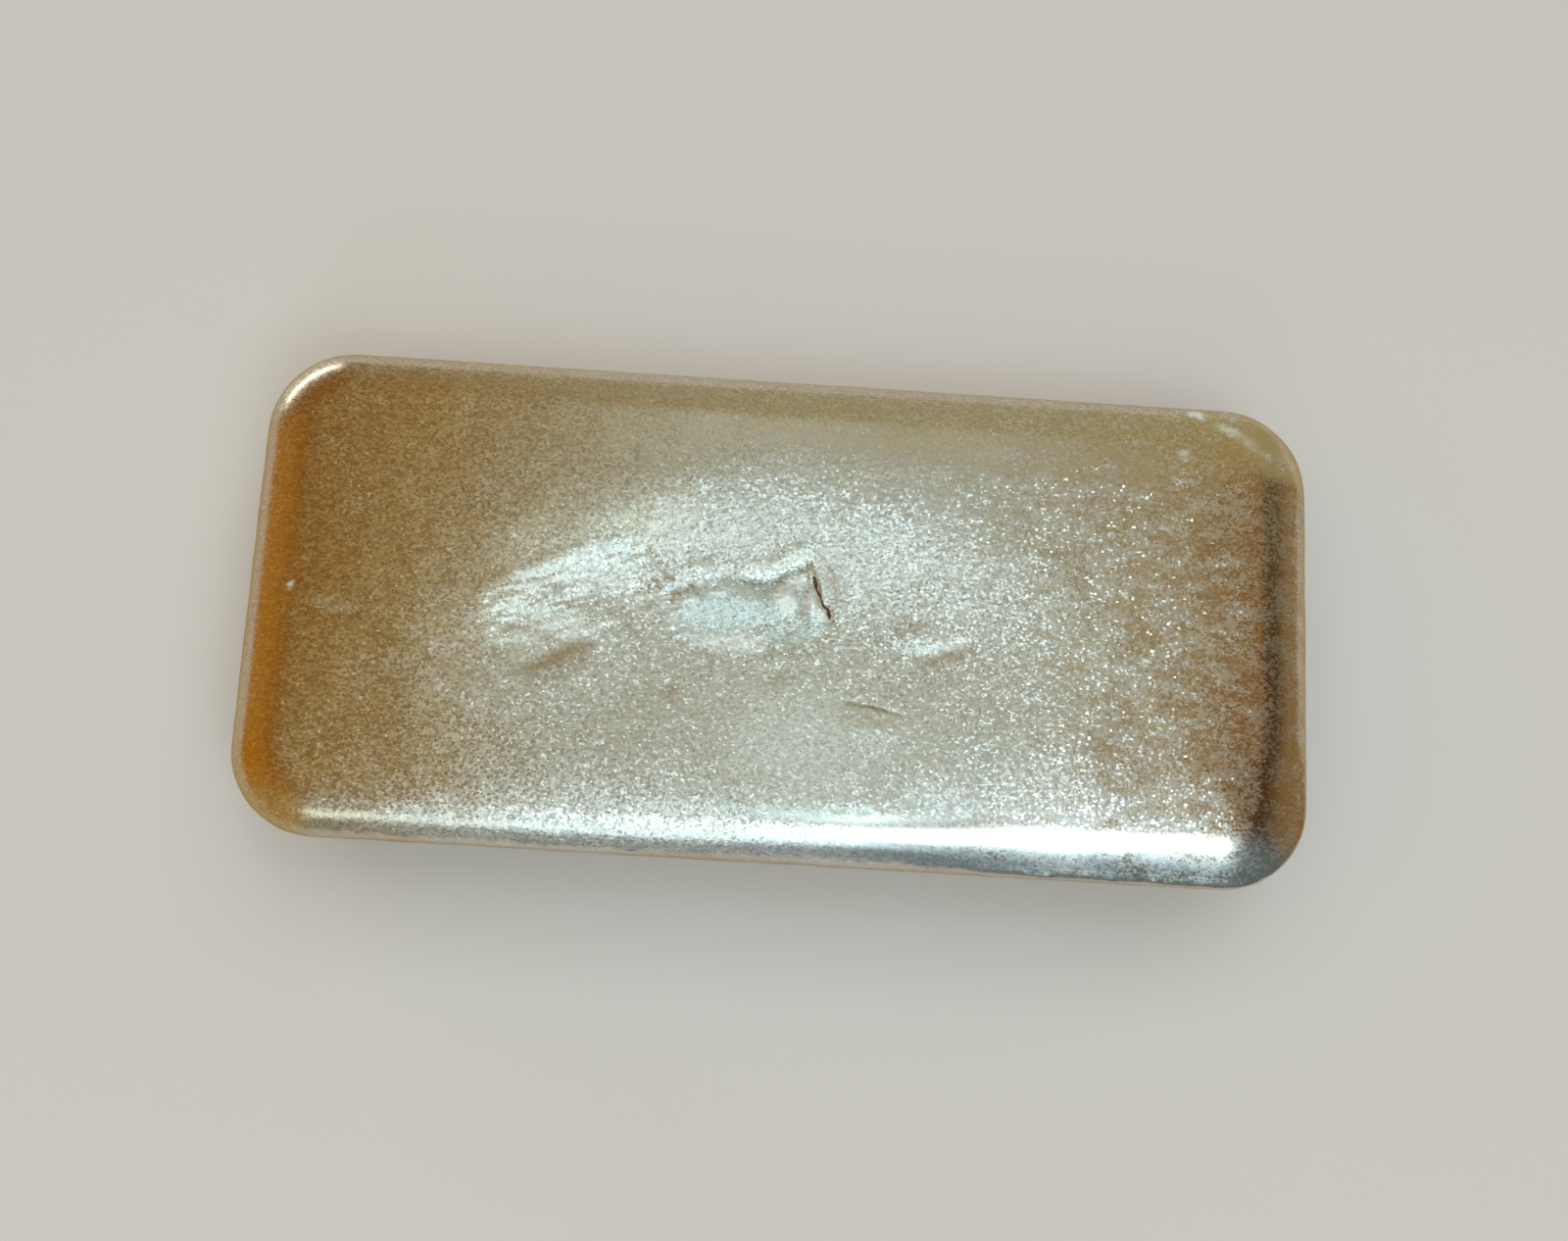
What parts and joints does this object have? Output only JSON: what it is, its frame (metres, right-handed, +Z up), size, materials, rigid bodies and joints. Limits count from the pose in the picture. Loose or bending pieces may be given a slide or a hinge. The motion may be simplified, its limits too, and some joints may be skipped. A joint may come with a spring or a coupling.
{
  "type": "tin ingot",
  "caption": "Small rounded bar of cast metal with drafted walls, a rounded lip and a shallow shrinkage hollow in its open-cast upper face.",
  "frame": {"origin": "middle of the mould face, on which the ingot rests", "axes": "+X along the ingot, +Y across it, +Z up through the open-cast face"},
  "size_m": [0.088, 0.0414, 0.0198],
  "materials": {
    "tin": "as-cast frosted tin"
  },
  "bodies": {
    "root": {"ingot": "tin"}
  },
  "joints": []
}
